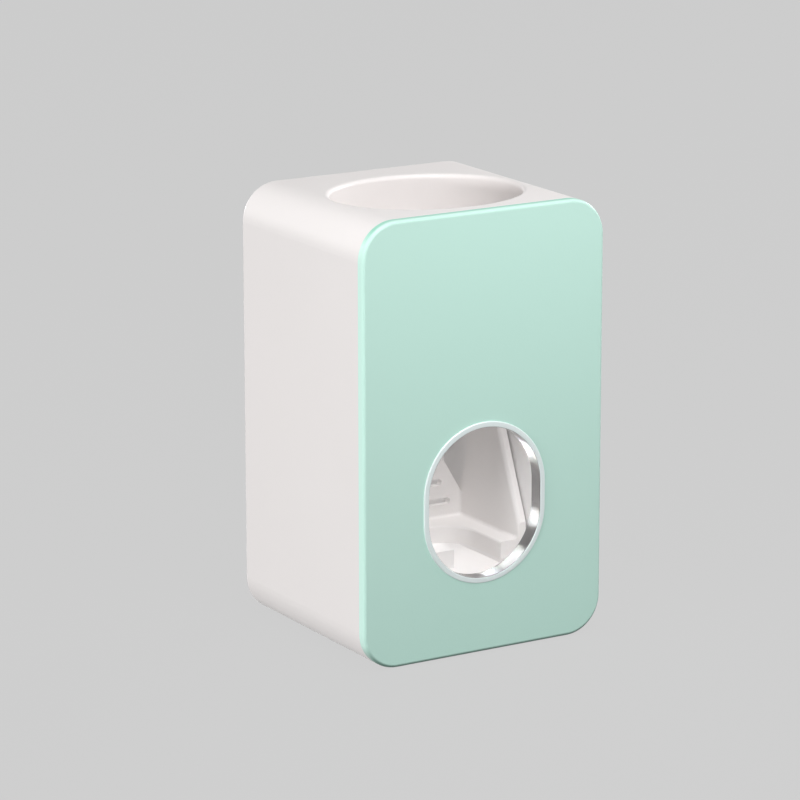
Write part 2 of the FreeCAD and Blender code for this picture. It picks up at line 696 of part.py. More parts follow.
def make_push_lever():
    body = new_body("push_lever")
    half_gap = S.fork_gap / 2
    fork = outline([
        (-ARM_IN, FORK_FRONT),
        (-half_gap, FORK_FRONT),
        (-half_gap, TONGUE_FRONT - S.fork_web, S.fork_round),
        (half_gap, TONGUE_FRONT - S.fork_web, S.fork_round),
        (half_gap, FORK_FRONT),
        (ARM_IN, FORK_FRONT),
        (ARM_IN, TONGUE_FRONT),
        (-ARM_IN, TONGUE_FRONT),
    ])
    extrude(body, "fork", "XY_Plane", FORK_BOTTOM, FORK_TOP, fork)
    top_half = S.tongue_top_width / 2
    tongue = outline([
        (-ARM_IN, FORK_BOTTOM),
        (ARM_IN, FORK_BOTTOM),
        (ARM_IN, SHOULDER),
        (top_half, TONGUE_TOP, S.tongue_top_round),
        (-top_half, TONGUE_TOP, S.tongue_top_round),
        (-ARM_IN, SHOULDER),
    ])
    extrude(body, "tongue", "XZ_Plane", TONGUE_FRONT, TONGUE_REAR, tongue)
    arm = outline([
        (FORK_FRONT, FORK_BOTTOM),
        (TONGUE_REAR, FORK_BOTTOM),
        (TONGUE_REAR, SHOULDER),
        (AXIS_Y + S.waist_reach, SHOULDER + S.waist_rise),
        (AXIS_Y + S.boss_radius, PIVOT_Z),
        (AXIS_Y - S.boss_radius, PIVOT_Z),
        (BAR_FRONT, BAR_TOP),
        (BAR_FRONT, BAR_FOOT),
        (BAR_FRONT + S.knee_setback, KNEE_Z),
        (FORK_FRONT, HEEL_Z),
    ])
    boss = circles([(AXIS_Y, PIVOT_Z)], S.boss_radius)
    for side in SIDES:
        low, high = (ARM_IN, ARM_OUT) if side > 0 else (-ARM_OUT, -ARM_IN)
        extrude(body, "arm", "YZ_Plane", low, high, arm)
        extrude(body, "boss", "YZ_Plane", low, high, boss)

    def on_ledge_corner(box):
        along_arm = near(abs(box.XMin), ARM_IN) and near(abs(box.XMax), ARM_IN)
        along_tongue = near(box.YMin, TONGUE_FRONT) and near(box.YMax, TONGUE_FRONT)
        rises = box.ZMax > FORK_TOP.number + TOLERANCE
        if rises:
            return along_arm and along_tongue and near(box.ZMin, FORK_TOP)
        return near(box.ZMin, FORK_TOP) and (along_arm or along_tongue)

    def on_arm_front(box):
        upright = near(box.XMin, -ARM_IN) or near(box.XMax, ARM_IN)
        narrow = box.XLength < TOLERANCE
        return upright and narrow and near(box.ZMin, HEEL_Z) and near(box.ZMax, KNEE_Z)

    def on_fork_mouth(box):
        inside = max(-box.XMin, box.XMax) < half_gap.number + TOLERANCE
        return inside and flat_at_z(FORK_TOP)(box) and box.YMax < TONGUE_FRONT.number - TOLERANCE

    round_edges(body, "ledge_corners", S.ledge_round, on_ledge_corner)
    round_edges(body, "arm_fronts", S.arm_round, on_arm_front)
    round_edges(body, "fork_mouth", S.edge_round, on_fork_mouth)
    rows = (
        (FORK_TOP + S.lower_slot_rise, S.lower_slot_length),
        (FORK_TOP + S.lower_slot_rise + S.slot_pitch, S.upper_slot_length),
    )
    slot_radius = S.slot_height / 2
    pairs = []
    for level, length in rows:
        reach = length / 2 - slot_radius
        pairs.append(((-reach, level), (reach, level)))
    extrude(body, "vents", "XZ_Plane", TONGUE_FRONT, TONGUE_REAR, slots(pairs, slot_radius), cut=True)
    spigot = circles([(ZERO, SPRING_Z)], S.spigot_radius)
    extrude(body, "spigot", "XZ_Plane", TONGUE_REAR, TONGUE_REAR + S.spigot_length, spigot)
    bar = rectangle(BAR_FRONT, BAR_FOOT, BAR_REAR, BAR_TOP, S.edge_round)
    extrude(body, "bar", "YZ_Plane", -ARM_IN, ARM_IN, bar)
    bore = circles([(AXIS_Y, PIVOT_Z)], S.pin_radius)
    extrude(body, "pin_bores", "YZ_Plane", -ARM_OUT, ARM_OUT, bore, cut=True)
    return body


def make_pivot_pin(label, side):
    body = new_body(label)
    low, high = (ARM_IN, CHEEK_OUT) if side > 0 else (-CHEEK_OUT, -ARM_IN)
    extrude(body, "pin", "YZ_Plane", low, high, circles([(AXIS_Y, PIVOT_Z)], S.pin_radius))
    return body


# Return spring

def biarc(start, start_way, end, end_way):
    """Two arcs that join in the middle and leave along the given directions."""
    span = end - start
    ways = start_way + end_way
    square = 2 * (1 - start_way.dot(end_way))
    linear = 2 * span.dot(ways)
    reach = (math.sqrt(linear * linear + 4 * square * span.dot(span)) - linear) / (2 * square)
    first_knee = start + start_way * reach
    last_knee = end - end_way * reach
    middle = (first_knee + last_knee) * 0.5
    arcs = []
    for begin, knee, finish in ((start, first_knee, middle), (middle, last_knee, end)):
        chord_middle = (begin + finish) * 0.5
        half_chord = (finish - begin).Length / 2
        rise = (knee - chord_middle).Length
        slant = math.sqrt(half_chord * half_chord + rise * rise)
        sagitta = half_chord * (slant - half_chord) / rise
        on_arc = chord_middle + (knee - chord_middle) * (sagitta / rise)
        arcs.append(Part.Arc(begin, on_arc, finish).toShape())
    return arcs


def make_return_spring():
    """A round wire wound along Y between the tongue and the frame's back plate."""
    wire = S.wire_radius.number
    radius = S.spring_radius.number
    turns = S.spring_turns.number
    begin = TONGUE_REAR.number + wire
    travel = PLATE_FRONT.number - wire - begin
    pitch = travel / turns
    level = SPRING_Z.number

    def place(turn_angle):
        along = begin + pitch * turn_angle / (2 * math.pi)
        return FreeCAD.Vector(radius * math.cos(turn_angle), along, level + radius * math.sin(turn_angle))

    def heading(turn_angle):
        climb = pitch / (2 * math.pi)
        way = FreeCAD.Vector(-radius * math.sin(turn_angle), climb, radius * math.cos(turn_angle))
        return way.normalize()

    halves = round(2 * turns)
    step = 2 * math.pi * turns / halves
    path = []
    for index in range(halves):
        first = index * step
        last = first + step
        path.extend(biarc(place(first), heading(first), place(last), heading(last)))
    section = Part.Wire(Part.Circle(place(0), heading(0), wire).toShape())
    solid = Part.Wire(path).makePipeShell([section], True, False)
    samples_per_turn = 40
    sample_step = 2 * math.pi / samples_per_turn
    points = [place(sample_step * number) for number in range(round(turns * samples_per_turn) + 1)]
    least = min(
        (points[one] - points[two]).Length
        for one in range(len(points))
        for two in range(one + samples_per_turn // 2, len(points))
    )
    print("return_spring least gap to itself %.2f mm" % (least - 2 * wire))
    item = DOC.addObject("Part::Feature", "return_spring")
    item.Label = "return_spring"
    item.Shape = solid
    return item


# Seal, pump and nozzle, all turned about the well's axis

def make_tube_seal():
    body = new_body("tube_seal")
    turn(body, "seal", [
        (S.neck_radius, HEAD_FLOOR),
        (SKIRT_RADIUS, HEAD_FLOOR),
        (SKIRT_RADIUS, WELL_UNDER),
        (SEAL_BODY, WELL_UNDER),
        (SEAL_BODY, WELL_BOTTOM),
        (SEAL_FLANGE, WELL_BOTTOM),
        (SEAL_FLANGE, WELL_BOTTOM + S.seal_flange),
        (S.neck_radius, WELL_BOTTOM + S.seal_flange),
    ])
    return body


def make_seal_collar():
    body = new_body("seal_collar")
    inner = SEAL_FLANGE + S.seal_fit
    outer = inner + S.collar_band
    mouth = S.neck_radius + S.mouth_gap
    flange_top = WELL_BOTTOM + S.seal_flange
    top = flange_top + S.collar_lip
    turn(body, "collar", [
        (inner, WELL_BOTTOM),
        (outer, WELL_BOTTOM),
        (outer, top - S.collar_chamfer),
        (outer - S.collar_chamfer, top),
        (mouth + S.collar_lip, top),
        (mouth, flange_top),
        (inner, flange_top),
    ])
    return body


def make_pump_head():
    body = new_body("pump_head")
    bore = S.collar_inner - S.spigot_wall
    seat_top = SEAT_UNDER + S.seat_thick
    cup_inner = SKIRT_RADIUS + S.seal_fit
    flange = cup_inner + S.head_wall
    turn(body, "head", [
        (ZERO, SEAT_UNDER),
        (S.collar_inner, SEAT_UNDER),
        (S.collar_inner, SHELF_UNDER),
        (HEAD_BODY, SHELF_UNDER),
        (HEAD_BODY, SHELF_TOP),
        (flange, SHELF_TOP),
        (flange, WELL_UNDER),
        (cup_inner, WELL_UNDER),
        (cup_inner, HEAD_FLOOR),
        (bore, HEAD_FLOOR),
        (bore, seat_top),
        (ZERO, seat_top),
    ])
    reach = S.port_circle
    ports = [
        (reach, AXIS_Y),
        (-reach, AXIS_Y),
        (ZERO, AXIS_Y + reach),
        (ZERO, AXIS_Y - reach),
    ]
    extrude(body, "ports", "XY_Plane", SEAT_UNDER, seat_top, circles(ports, S.port_radius), cut=True)
    stem_hole = circles([(ZERO, AXIS_Y)], S.stem_radius)
    extrude(body, "stem_hole", "XY_Plane", SEAT_UNDER, seat_top, stem_hole, cut=True)
    return body


def make_inlet_valve():
    body = new_body("inlet_valve")
    seat_top = SEAT_UNDER + S.seat_thick
    turn(body, "valve", [
        (ZERO, SEAT_UNDER - S.valve_thick),
        (S.valve_radius, SEAT_UNDER - S.valve_thick / 2),
        (S.valve_radius, SEAT_UNDER),
        (S.stem_radius, SEAT_UNDER),
        (S.stem_radius, seat_top),
        (S.stem_head_radius, seat_top),
        (S.stem_radius, seat_top + S.stem_head),
        (ZERO, seat_top + S.stem_head),
    ])
    return body


def make_pump_bulb():
    body = new_body("pump_bulb")
    inner = BULB_RADIUS - S.bulb_wall
    turn(body, "bulb", [
        (S.collar_inner, BULB_FOOT),
        (COLLAR_OUTER, BULB_FOOT),
        (COLLAR_OUTER, BULB_BODY_FOOT),
        (BULB_RADIUS, BULB_BODY_FOOT + S.bulb_taper, S.bulb_taper),
        (BULB_RADIUS, BULB_BODY_TOP - S.bulb_taper, S.bulb_taper),
        (COLLAR_OUTER, BULB_BODY_TOP),
        (COLLAR_OUTER, BULB_TOP),
        (S.collar_inner, BULB_TOP),
        (S.collar_inner, SEAT_UNDER),
        (inner, SEAT_UNDER - S.bulb_taper),
        (inner, BULB_BODY_FOOT + S.bulb_taper),
        (S.collar_inner, BULB_BODY_FOOT),
    ])
    return body


def make_clamp(label, foot):
    body = new_body(label)
    inner = COLLAR_OUTER
    turn(body, "clamp", [
        (inner, foot),
        (inner + S.clamp_wall, foot),
        (inner + S.clamp_wall, foot + S.clamp_height),
        (inner, foot + S.clamp_height),
    ])
    return body


def make_nozzle():
    body = new_body("nozzle")
    seat_radius = S.collar_inner - S.spigot_wall
    turn(body, "nozzle", [
        (S.nozzle_bore, NOZZLE_END),
        (S.neck_outer - S.nozzle_tip_round, NOZZLE_END),
        (S.neck_outer, NOZZLE_END + S.nozzle_tip_round),
        (S.neck_outer, LOW_SHELF_TOP),
        (S.nozzle_flange_radius, LOW_SHELF_TOP),
        (S.nozzle_flange_radius, BULB_FOOT),
        (S.collar_inner, BULB_FOOT),
        (S.collar_inner, BULB_FOOT + S.nozzle_spigot),
        (seat_radius, BULB_FOOT + S.nozzle_spigot),
        (seat_radius, VALVE_SEAT),
        (S.nozzle_bore, VALVE_SEAT),
    ])
    return body


def make_nozzle_nut():
    body = new_body("nozzle_nut")
    outer = S.neck_outer + S.nut_wall
    turn(body, "nut", [
        (S.neck_outer, NUT_UNDER),
        (outer - S.edge_round, NUT_UNDER),
        (outer, NUT_UNDER + S.edge_round),
        (outer, LOW_SHELF_UNDER),
        (S.neck_outer, LOW_SHELF_UNDER),
    ])
    return body


def make_outlet_valve():
    body = new_body("outlet_valve")
    flange_radius = S.collar_inner - S.spigot_wall
    bill_end = NOZZLE_END + S.bill_short
    bill_radius = S.nozzle_bore - S.bill_gap
    inner = bill_radius - S.bill_wall
    turn(body, "bill", [
        (ZERO, bill_end),
        (S.bill_tip, bill_end),
        (bill_radius, bill_end + bill_radius),
        (bill_radius, VALVE_SEAT),
        (flange_radius, VALVE_SEAT),
        (flange_radius, VALVE_SEAT + S.bill_flange),
        (inner, VALVE_SEAT + S.bill_flange),
        (inner, bill_end + bill_radius),
        (ZERO, bill_end + S.bill_wall),
    ])
    half_slit = S.bill_slit / 2
    slit = rectangle(-S.bill_tip, AXIS_Y - half_slit, S.bill_tip, AXIS_Y + half_slit)
    extrude(body, "slit", "XY_Plane", bill_end, bill_end + bill_radius, slit, cut=True)
    return body


# Wall plate and its adhesive pad

def make_wall_plate():
    body = new_body("wall_plate")
    half = S.plate_width / 2
    low = HANG_Z - S.plate_below
    high = HANG_Z + S.plate_above
    front = RECESS_FLOOR + S.plate_gap
    radius = S.recess_round - S.recess_gap
    extrude(body, "plate", "XZ_Plane", front, BACK, rectangle(-half, low, half, high, radius))
    places = [(STUD_X * side, HANG_Z) for side in SIDES]
    head_rear = INNER_BACK - S.stud_fit
    extrude(body, "studs", "XZ_Plane", head_rear, front, circles(places, S.stud_radius))
    heads = circles(places, S.stud_head_radius)
    extrude(body, "stud_heads", "XZ_Plane", head_rear - S.stud_head, head_rear, heads)
    return body


def make_adhesive_pad():
    body = new_body("adhesive_pad")
    half = S.plate_width / 2 - S.pad_inset
    low = HANG_Z - S.plate_below + S.pad_inset
    high = HANG_Z + S.plate_above - S.pad_inset
    radius = S.recess_round - S.recess_gap - S.pad_inset / 2
    extrude(body, "pad", "XZ_Plane", BACK, BACK + S.pad_thick, rectangle(-half, low, half, high, radius))
    return body


def make_all():
    upper_foot = BULB_TOP - S.clamp_inset - S.clamp_height
    lower_foot = BULB_FOOT + S.clamp_inset
    return [
        make_housing(),
        make_front_panel(),
        make_panel_carrier(),
        make_window_bezel(),
        make_inner_frame(),
        make_frame_screws(),
        make_push_lever(),
        make_pivot_pin("pivot_pin_left", -1),
        make_pivot_pin("pivot_pin_right", 1),
        make_return_spring(),
        make_tube_seal(),
        make_seal_collar(),
        make_pump_head(),
        make_inlet_valve(),
        make_pump_bulb(),
        make_clamp("upper_clamp", upper_foot),
        make_clamp("lower_clamp", lower_foot),
        make_nozzle(),
        make_nozzle_nut(),
        make_outlet_valve(),
        make_wall_plate(),
        make_adhesive_pad(),
    ]


def check_and_export(pieces):
    DOC.recompute()
    for item in DOC.Objects:
        if "Invalid" in item.State or "Error" in item.State:
            raise RuntimeError("%s did not build: %s" % (item.Label, item.State))
    os.makedirs("parts", exist_ok=True)
    for piece in pieces:
        shape = piece.Shape
        if shape.isNull() or not shape.isValid():
            raise RuntimeError("%s has no valid shape" % piece.Label)
        box = shape.BoundBox
        print("%-16s %2d solids %9.1f mm3  x %.2f %.2f  y %.2f %.2f  z %.2f %.2f" % (
            piece.Label, len(shape.Solids), shape.Volume,
            box.XMin, box.XMax, box.YMin, box.YMax, box.ZMin, box.ZMax))
        shape.exportStep("parts/%s.step" % piece.Label)


check_and_export(make_all())
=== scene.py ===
"""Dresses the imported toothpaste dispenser: studio, finishes, soft pieces and spring."""

import logging
import math
from dataclasses import dataclass
from enum import Enum
from typing import ClassVar

import bmesh
import bpy
from mathutils import Matrix, Vector


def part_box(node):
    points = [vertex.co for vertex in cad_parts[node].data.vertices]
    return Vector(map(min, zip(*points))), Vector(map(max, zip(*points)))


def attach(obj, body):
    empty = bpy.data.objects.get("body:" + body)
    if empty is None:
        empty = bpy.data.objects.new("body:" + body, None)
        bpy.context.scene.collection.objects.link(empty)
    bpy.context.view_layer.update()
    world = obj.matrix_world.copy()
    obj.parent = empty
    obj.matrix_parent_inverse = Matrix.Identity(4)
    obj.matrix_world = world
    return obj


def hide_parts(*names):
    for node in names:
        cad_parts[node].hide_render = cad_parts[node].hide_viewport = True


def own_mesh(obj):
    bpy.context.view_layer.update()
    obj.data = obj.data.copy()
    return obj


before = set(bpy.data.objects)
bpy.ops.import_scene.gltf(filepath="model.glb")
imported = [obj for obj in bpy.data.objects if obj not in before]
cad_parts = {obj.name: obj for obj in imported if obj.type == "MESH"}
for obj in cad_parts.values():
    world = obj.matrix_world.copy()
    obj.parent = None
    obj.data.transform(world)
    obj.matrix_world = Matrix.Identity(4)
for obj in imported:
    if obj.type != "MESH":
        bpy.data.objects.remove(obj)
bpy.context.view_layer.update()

LOG = logging.getLogger("dispenser")

Point = tuple[float, float, float]
Colour = tuple[float, float, float]
Span = tuple[float, float]
Profile = list[tuple[float, float]]
Socket = bpy.types.NodeSocket


class Body(Enum):
    """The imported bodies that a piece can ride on."""

    DISPENSER = "dispenser"
    WALL_MOUNT = "wall_mount"


class Slot(Enum):
    """The record's material slots for the new pieces' finishes, which this script doesn't use."""

    STEEL = "steel"
    SILICONE = "silicone"
    FOAM = "foam"


class Link(Enum):
    """How a lamp treats the node that it names."""

    ONLY = "INCLUDE"
    SPARED = "EXCLUDE"


# Node wiring shared by the finishes and the studio


class Wiring:
    """Adds nodes to one node tree and joins them."""

    # Places of a colour Mix node's sockets
    MIX_SHARE, MIX_FIRST, MIX_SECOND, MIX_RESULT = 0, 6, 7, 2

    def __init__(self, tree: bpy.types.NodeTree) -> None:
        """Keeps the tree that the nodes go into."""
        self.tree = tree

    def feed(self, made: bpy.types.Node, inputs: dict) -> None:
        """Fills a node's inputs.

        Args:
            made: The node.
            inputs: Values or sockets for its inputs, by name or number.
        """
        for name, value in inputs.items():
            if isinstance(value, Socket):
                self.tree.links.new(value, made.inputs[name])
            else:
                made.inputs[name].default_value = value

    def node(self, kind: str, inputs: dict | None = None, **settings: object) -> bpy.types.Node:
        """Adds a node.

        Args:
            kind: Blender's node type.
            inputs: Values or sockets for its inputs, by name or number.
            settings: Values for its own properties.

        Returns:
            The new node.
        """
        made = self.tree.nodes.new(kind)
        for name, value in settings.items():
            setattr(made, name, value)
        self.feed(made, inputs or {})
        return made

    def math(self, operation: str, *values: object) -> Socket:
        """Joins numbers or sockets with a Math node and returns its result."""
        inputs = dict(enumerate(values))
        return self.node("ShaderNodeMath", inputs, operation=operation).outputs[0]

    def past(self, value: object, limit: object) -> Socket:
        """Measures how far a value lies past a limit, 0 before it, and returns the result."""
        return self.math("MAXIMUM", self.math("SUBTRACT", value, limit), 0.0)

    def spread(self, value: Socket, span: Span) -> Socket:
        """Spreads a 0 to 1 value over a span and returns the result."""
        inputs = {"Value": value, "To Min": span[0], "To Max": span[1]}
        return self.node("ShaderNodeMapRange", inputs).outputs[0]

    def ramp(self, value: Socket, span: Span, origin: float = 0.0) -> Socket:
        """Makes a mask that rises from 0 to 1.

        Args:
            value: What the mask follows.
            span: Where it starts and where it is full, from the origin.
            origin: The value that the span counts from.

        Returns:
            The mask.
        """
        inputs = {"Value": value, "From Min": origin + span[0], "From Max": origin + span[1]}
        return self.node("ShaderNodeMapRange", inputs).outputs[0]

    def spot(self) -> Socket:
        """Adds the piece's own coordinates and returns their socket."""
        return self.node("ShaderNodeTexCoord").outputs["Object"]

    def axes(self) -> bpy.types.NodeOutputs:
        """Splits the piece's own coordinates and returns the X, Y and Z outputs."""
        return self.node("ShaderNodeSeparateXYZ", {"Vector": self.spot()}).outputs

    def reach(self, across: Socket, along: Socket) -> Socket:
        """Joins two distances at right angles and returns the distance that they make."""
        flat = self.node("ShaderNodeCombineXYZ", {"X": across, "Y": along}).outputs[0]
        return self.node("ShaderNodeVectorMath", {0: flat}, operation="LENGTH").outputs["Value"]

    def noise(self, spot: Socket, scale: object, detail: float, twist: float = 0.0) -> Socket:
        """Adds a noise texture.

        Args:
            spot: The coordinates.
            scale: Number or socket, per metre.
            detail: How many finer layers it has.
            twist: How far it distorts itself.

        Returns:
            The noise, from 0 to 1.
        """
        inputs = {"Vector": spot, "Scale": scale, "Detail": detail, "Distortion": twist}
        return self.node("ShaderNodeTexNoise", inputs).outputs["Fac"]

    def bump(self, height: Socket, depth: float, strength: float) -> Socket:
        """Adds a fine relief of some depth in metres and returns its normal."""
        inputs = {"Height": height, "Distance": depth, "Strength": strength}
        return self.node("ShaderNodeBump", inputs).outputs[0]

    def mix(self, share: object, first: object, second: object) -> Socket:
        """Mixes two colours.

        Args:
            share: Number or socket, 0 for the first colour.
            first: Colour or socket.
            second: Colour or socket.

        Returns:
            The mixed colour's socket.
        """
        inputs = {self.MIX_SHARE: share}
        for place, colour in ((self.MIX_FIRST, first), (self.MIX_SECOND, second)):
            inputs[place] = colour if isinstance(colour, Socket) else (*colour, 1.0)
        return self.node("ShaderNodeMix", inputs, data_type="RGBA").outputs[self.MIX_RESULT]


class MouldedSurface:
    """The shared node group of mould grain, broad clouding and handling scuffs."""

    NAME = "moulded_surface"
    INPUTS = {"Grain Scale": 1800.0, "Cloud Scale": 28.0, "Scuff Scale": 260.0}
    OUTPUTS = ("Grain", "Cloud", "Scuffs")
    GRAIN_DETAIL = 3.0
    CLOUD_DETAIL = 2.0
    SCUFF_DETAIL = 4.0
    SCUFF_TWIST = 0.6
    SCUFF_STRETCH = (1.0, 1.0, 0.12)
    SCUFF_SPAN = (0.62, 0.8)

    @classmethod
    def tree(cls) -> bpy.types.NodeTree:
        """Builds the group on first use.

        Returns:
            The group.
        """
        known = bpy.data.node_groups.get(cls.NAME)
        if known:
            return known
        group = bpy.data.node_groups.new(cls.NAME, "ShaderNodeTree")
        for name, value in cls.INPUTS.items():
            socket = group.interface.new_socket(name, in_out="INPUT", socket_type="NodeSocketFloat")
            socket.default_value = value
        for name in cls.OUTPUTS:
            group.interface.new_socket(name, in_out="OUTPUT", socket_type="NodeSocketFloat")
        wires = Wiring(group)
        grain_scale, cloud_scale, scuff_scale = wires.node("NodeGroupInput").outputs[:3]
        spot = wires.spot()
        grain = wires.noise(spot, grain_scale, cls.GRAIN_DETAIL)
        cloud = wires.noise(spot, cloud_scale, cls.CLOUD_DETAIL)
        drawn = wires.node("ShaderNodeMapping", {"Vector": spot, "Scale": cls.SCUFF_STRETCH})
        scuff = wires.noise(drawn.outputs[0], scuff_scale, cls.SCUFF_DETAIL, cls.SCUFF_TWIST)
        sparse = wires.ramp(scuff, cls.SCUFF_SPAN)
        wires.node("NodeGroupOutput", {0: grain, 1: cloud, 2: sparse})
        return group

    @classmethod
    def add(cls, wires: Wiring, inputs: dict | None = None) -> bpy.types.NodeOutputs:
        """Adds the group to a material with some inputs and returns its outputs."""
        return wires.node("ShaderNodeGroup", inputs, node_tree=cls.tree()).outputs


def start_material(name: str) -> tuple[bpy.types.Material, Wiring, bpy.types.Node]:
    """Starts a node material.

    Args:
        name: The finish's name.

    Returns:
        The material, its wiring and its Principled BSDF node.
    """
    material = bpy.data.materials.new(name)
    material.use_nodes = True
    wires = Wiring(material.node_tree)
    return material, wires, material.node_tree.nodes["Principled BSDF"]


# Finishes


@dataclass(frozen=True)
class MouldedPlastic:
    """A moulded plastic with fine grain and a little clouding.

    Attributes:
        name: The finish's name.
        colour: Linear base colour.
        shade: Darker linear colour that the clouding drifts to.
        roughness: Middle roughness.
        swing: How far the clouding moves the roughness.
        grain: Grain scale, per metre.
        relief: Depth of the grain in metres.
        coat: Weight of the clear gloss on top.
    """

    BUMP_STRENGTH: ClassVar[float] = 0.5
    COAT_ROUGHNESS: ClassVar[float] = 0.12

    name: str
    colour: Colour
    shade: Colour
    roughness: float
    swing: float
    grain: float
    relief: float
    coat: float = 0.0

    def tint(self, wires: Wiring, cloud: Socket) -> Socket:
        """Wires the clouded base colour and returns its socket."""
        return wires.mix(cloud, self.shade, self.colour)

    def make(self) -> bpy.types.Material:
        """Builds the material.

        Returns:
            The material.
        """
        material, wires, shader = start_material(self.name)
        surface = MouldedSurface.add(wires, {"Grain Scale": self.grain})
        cloud = surface["Cloud"]
        rough = wires.spread(cloud, (self.roughness - self.swing, self.roughness + self.swing))
        wires.feed(shader, {
            "Base Color": self.tint(wires, cloud),
            "Roughness": wires.math("MULTIPLY_ADD", surface["Scuffs"], self.swing, rough),
            "Normal": wires.bump(surface["Grain"], self.relief, self.BUMP_STRENGTH),
            "Coat Weight": self.coat,
            "Coat Roughness": self.COAT_ROUGHNESS,
        })
        return material


@dataclass(frozen=True)
class MintPlastic(MouldedPlastic):
    """The front panel's plastic, with a painted highlight on its upright edges and painted shade at
    top and foot.

    Attributes:
        edge: Linear colour of the painted highlight on the upright edges.
        deep: Linear colour of the painted shade on the top, behind its rounding.
        sole_shade: Linear colour of the painted shade on the rounding along the foot.
        crown: Height of the top.
        foot: Height of the foot.
        face: Where the panel's front face stands, along Y.
        reach: Half the panel's width.
        corner: Radius of the panel's corners.
    """

    # Where each painted tone starts and is full: behind the face, inside the sides, under the top,
    # and inside the outline. The last is in shares of the corner's radius, down from its middle.
    TURNED: ClassVar[Span] = (0.0002, 0.0009)
    BEHIND: ClassVar[Span] = (0.0009, 0.0013)
    UPRIGHT: ClassVar[Span] = (-0.005, -0.001)
    HIGH: ClassVar[Span] = (-0.006, -0.002)
    RIM: ClassVar[Span] = (-0.001, -0.0005)
    LOW_SHARES: ClassVar[Span] = (0.3, 0.8)

    # Painted highlight on the upright edges, painted shade along the top and under the foot.
    edge: Colour = (0.66, 0.95, 0.85)
    deep: Colour = (0.33, 0.7, 0.56)
    sole_shade: Colour = (0.16, 0.29, 0.24)
    crown: float = 0.0
    foot: float = 0.0
    face: float = 0.0
    reach: float = 0.0
    corner: float = 0.0103

    def tint(self, wires: Wiring, cloud: Socket) -> Socket:
        """Wires the base colour with its painted highlight and painted shades.

        Args:
            wires: The material's wiring.
            cloud: The clouding.

        Returns:
            The colour's socket.
        """
        axes = wires.axes()
        outwards = wires.math("ABSOLUTE", axes["X"])
        turned = wires.ramp(axes["Y"], self.TURNED, self.face)
        upright = wires.ramp(outwards, self.UPRIGHT, self.reach)
        behind = wires.ramp(axes["Y"], self.BEHIND, self.face)
        high = wires.ramp(axes["Z"], self.HIGH, self.crown)
        body = super().tint(wires, cloud)
        # Painted highlight: the upright edges are paler, standing in for the light that they catch.
        sides = wires.mix(wires.math("MULTIPLY", turned, upright), body, self.edge)
        # Painted shade: the top behind its rounding is a deeper green.
        top_shaded = wires.mix(wires.math("MULTIPLY", behind, high), sides, self.deep)
        # Painted shade: the rounding along the foot is darkened.
        return wires.mix(self.shaded_underside(wires, axes["Z"], outwards), top_shaded, self.sole_shade)

    def shaded_underside(self, wires: Wiring, height: Socket, outwards: Socket) -> Socket:
        """Wires a mask of the rounding along the foot, where shade is painted.

        Args:
            wires: The material's wiring.
            height: The place's height.
            outwards: Its distance from the panel's middle line.

        Returns:
            The mask's socket.
        """
        sunk = wires.past(self.foot + self.corner, height)
        aside = wires.past(outwards, self.reach - self.corner)
        rim = wires.ramp(wires.reach(aside, sunk), self.RIM, self.corner)
        start, full = self.LOW_SHARES
        low = wires.ramp(sunk, (self.corner * start, self.corner * full))
        return wires.math("MULTIPLY", rim, low)


@dataclass(frozen=True)
class BrightLiner:
    """The bezel's finish: mirror chrome in the opening, pearl white on the flange.

    Attributes:
        name: The finish's name.
        chrome: Linear colour of the chrome.
        pearl: Linear colour of the flange.
        middle: Height of the opening's middle.
        radius: Radius of the opening's round ends.
        straight: Half the length of its straight sides.
    """

    FLANGE: ClassVar[Span] = (0.00004, 0.0001)
    ROUGHNESS: ClassVar[Span] = (0.16, 0.22)
    FLANGE_ROUGHER: ClassVar[float] = 0.1
    RELIEF: ClassVar[float] = 0.0002
    BUMP_STRENGTH: ClassVar[float] = 0.08

    name: str
    chrome: Colour
    pearl: Colour
    middle: float
    radius: float
    straight: float

    def make(self) -> bpy.types.Material:
        """Builds the material.

        Returns:
            The material.
        """
        material, wires, shader = start_material(self.name)
        cloud = MouldedSurface.add(wires)["Cloud"]
        axes = wires.axes()
        rise = wires.math("ABSOLUTE", wires.math("SUBTRACT", axes["Z"], self.middle))
        away = wires.reach(axes["X"], wires.past(rise, self.straight))
        flange = wires.ramp(away, self.FLANGE, self.radius)
        fine = wires.spread(cloud, self.ROUGHNESS)
        wires.feed(shader, {
            "Base Color": wires.mix(flange, self.chrome, self.pearl),
            "Metallic": wires.math("SUBTRACT", 1.0, flange),
            "Roughness": wires.math("MULTIPLY_ADD", flange, self.FLANGE_ROUGHER, fine),
            "Normal": wires.bump(cloud, self.RELIEF, self.BUMP_STRENGTH),
        })
        return material


@dataclass(frozen=True)
class BrushedSteel:
    """Drawn or turned steel with fine lines along one direction.

    Attributes:
        name: The finish's name.
        colour: Linear colour.
        stretch: Scale of the lines on each axis, per metre.
    """

    LINE_DETAIL: ClassVar[float] = 4.0
    DARK_SHARE: ClassVar[float] = 0.75
    ROUGHNESS: ClassVar[Span] = (0.22, 0.42)
    RELIEF: ClassVar[float] = 0.00003
    BUMP_STRENGTH: ClassVar[float] = 0.4

    name: str
    colour: Colour
    stretch: Point

    def make(self) -> bpy.types.Material:
        """Builds the material.

        Returns:
            The material.
        """
        material, wires, shader = start_material(self.name)
        drawn = wires.node("ShaderNodeMapping", {"Vector": wires.spot(), "Scale": self.stretch})
        lines = wires.noise(drawn.outputs[0], 1.0, self.LINE_DETAIL)
        dark = tuple(self.DARK_SHARE * part for part in self.colour)
        wires.feed(shader, {
            "Base Color": wires.mix(lines, dark, self.colour),
            "Metallic": 1.0,
            "Roughness": wires.spread(lines, self.ROUGHNESS),
            "Normal": wires.bump(lines, self.RELIEF, self.BUMP_STRENGTH),
        })
        return material


